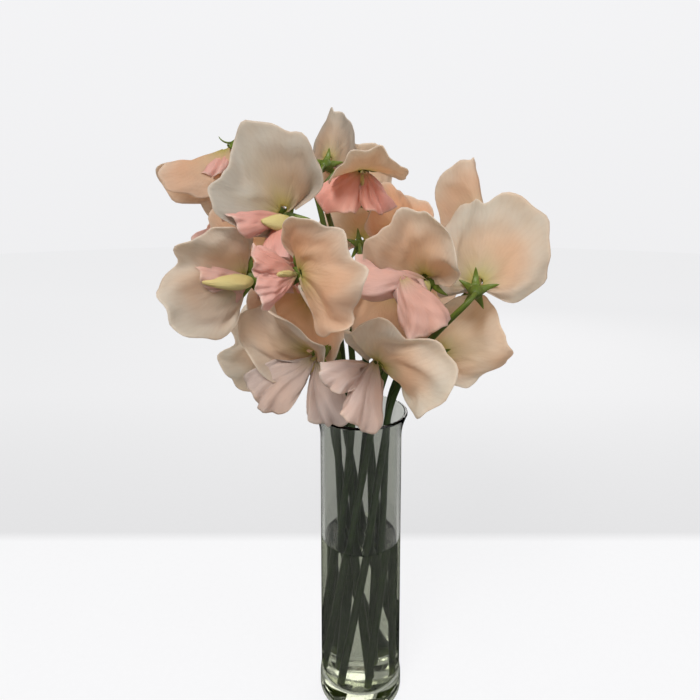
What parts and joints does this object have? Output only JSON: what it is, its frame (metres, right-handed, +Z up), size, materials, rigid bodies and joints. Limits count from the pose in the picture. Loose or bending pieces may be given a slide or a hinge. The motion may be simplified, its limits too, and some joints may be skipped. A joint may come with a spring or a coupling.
{
  "type": "bunch of sweet peas in a glass vase",
  "caption": "Cut sweet pea stems with cream and pink blossoms, standing in a slim clear glass cylinder vase part filled with water.",
  "frame": {"origin": "middle of the vase's flat foot, on the surface that it stands on", "axes": "+Z up along the vase's axis; the bunch's best side looks along -Y, with +X to its right as seen from the front"},
  "size_m": [0.1715, 0.1699, 0.2982],
  "materials": {
    "glass": "clear, smooth, faintly grey-green, with a thick solid foot",
    "water": "still water, faintly olive from the stems",
    "stem_green": "fresh plant green, satin, ribbed along its length",
    "banner_cream": "soft translucent petal, cream to pale peach, yellow-green at its claw",
    "wing_pink": "soft translucent petal, blush pink to salmon, faintly veined"
  },
  "bodies": {
    "root": {"banner_back_centre": "banner_cream", "banner_back_left": "banner_cream", "banner_back_low_left": "banner_cream", "banner_back_low_right": "banner_cream", "banner_back_right": "banner_cream", "banner_back_top": "banner_cream", "banner_centre_cream": "banner_cream", "banner_centre_low": "banner_cream", "banner_centre_pink": "banner_cream", "banner_centre_right_low": "banner_cream", "banner_inner_left": "banner_cream", "banner_left": "banner_cream", "banner_lower_centre": "banner_cream", "banner_lower_left": "banner_cream", "banner_lower_left_back": "banner_cream", "banner_rear_right": "banner_cream", "banner_right_back": "banner_cream", "banner_right_low": "banner_cream", "banner_right_top": "banner_cream", "banner_top_back": "banner_cream", "banner_top_front": "banner_cream", "banner_upper_left_front": "banner_cream", "banner_upper_left_side": "banner_cream", "stem_back": "stem_green", "stem_back_left": "stem_green", "stem_centre_right": "stem_green", "stem_front": "stem_green", "stem_left": "stem_green", "stem_left_centre": "stem_green", "stem_left_low": "stem_green", "stem_right_back": "stem_green", "stem_right_front": "stem_green", "stem_top": "stem_green", "stem_upper_left": "stem_green", "vase": "glass", "water": "water", "wings_back_centre": "wing_pink", "wings_back_left": "wing_pink", "wings_back_low_left": "wing_pink", "wings_back_low_right": "wing_pink", "wings_back_right": "wing_pink", "wings_back_top": "wing_pink", "wings_centre_cream": "wing_pink", "wings_centre_low": "wing_pink", "wings_centre_pink": "wing_pink", "wings_centre_right_low": "wing_pink", "wings_inner_left": "wing_pink", "wings_left": "wing_pink", "wings_lower_centre": "wing_pink", "wings_lower_left": "wing_pink", "wings_lower_left_back": "wing_pink", "wings_rear_right": "wing_pink", "wings_right_back": "wing_pink", "wings_right_low": "wing_pink", "wings_right_top": "wing_pink", "wings_top_back": "wing_pink", "wings_top_front": "wing_pink", "wings_upper_left_front": "wing_pink", "wings_upper_left_side": "wing_pink"}
  },
  "joints": []
}
